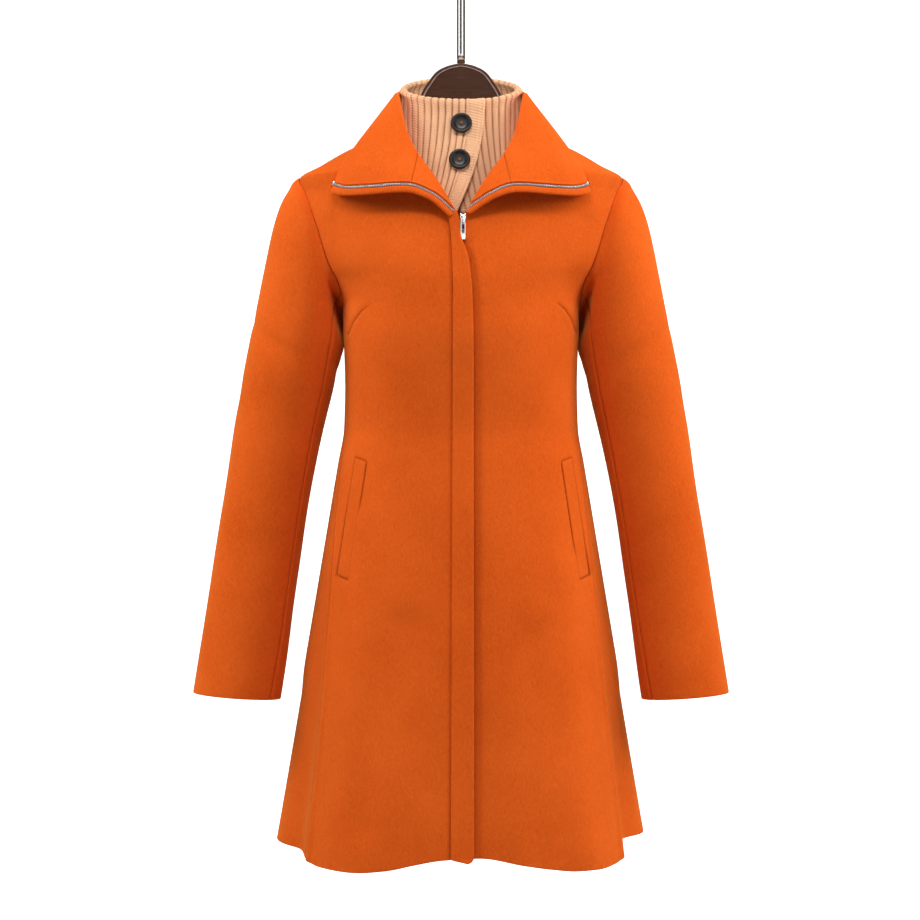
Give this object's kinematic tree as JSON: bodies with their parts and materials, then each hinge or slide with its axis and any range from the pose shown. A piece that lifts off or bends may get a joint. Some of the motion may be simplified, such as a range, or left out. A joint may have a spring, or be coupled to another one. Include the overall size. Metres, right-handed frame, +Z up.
{
  "type": "cashmere coat on a wooden hanger",
  "caption": "Flared zip-front cashmere coat with a turned-down collar, welt pockets and a buttoned rib-knit neck insert, hung on a wooden hanger with a metal hook.",
  "frame": {"origin": "inside the top of the hook's bend, where it rests on a rail", "axes": "+Z up along the hanging coat, -Y out of the coat's front, +X towards the wearer's left"},
  "size_m": [0.638, 0.3389, 1.0793],
  "materials": {
    "coat_cloth": "soft napped cashmere",
    "rib_knit": "rib knit wool",
    "zip_metal": "bright metal teeth on tape",
    "chrome": "polished",
    "button_black": "glossy",
    "walnut": "satin varnish"
  },
  "bodies": {
    "coat": {"front_right": "coat_cloth", "front_left": "coat_cloth", "back": "coat_cloth", "sleeve_right_top": "coat_cloth", "sleeve_right_under": "coat_cloth", "sleeve_left_top": "coat_cloth", "sleeve_left_under": "coat_cloth", "collar": "coat_cloth", "lapel_right": "coat_cloth", "lapel_left": "coat_cloth", "placket": "coat_cloth", "welt_right": "coat_cloth", "welt_left": "coat_cloth", "zip_right": "zip_metal", "zip_left": "zip_metal", "zip_chain": "zip_metal", "zip_slider": "chrome", "knit_collar": "rib_knit", "button_upper": "button_black", "button_lower": "button_black", "hanger": "walnut", "hanger_hook": "chrome"},
    "zip_pull": {"zip_pull": "chrome"}
  },
  "joints": [
    {"name": "zip_pull_hinge", "type": "hinge", "parent": "coat", "child": "zip_pull", "pos_m": [0.0024, -0.11457, -0.32787], "axis": [-1, 0, 0], "range_deg": [0, 150]}
  ]
}
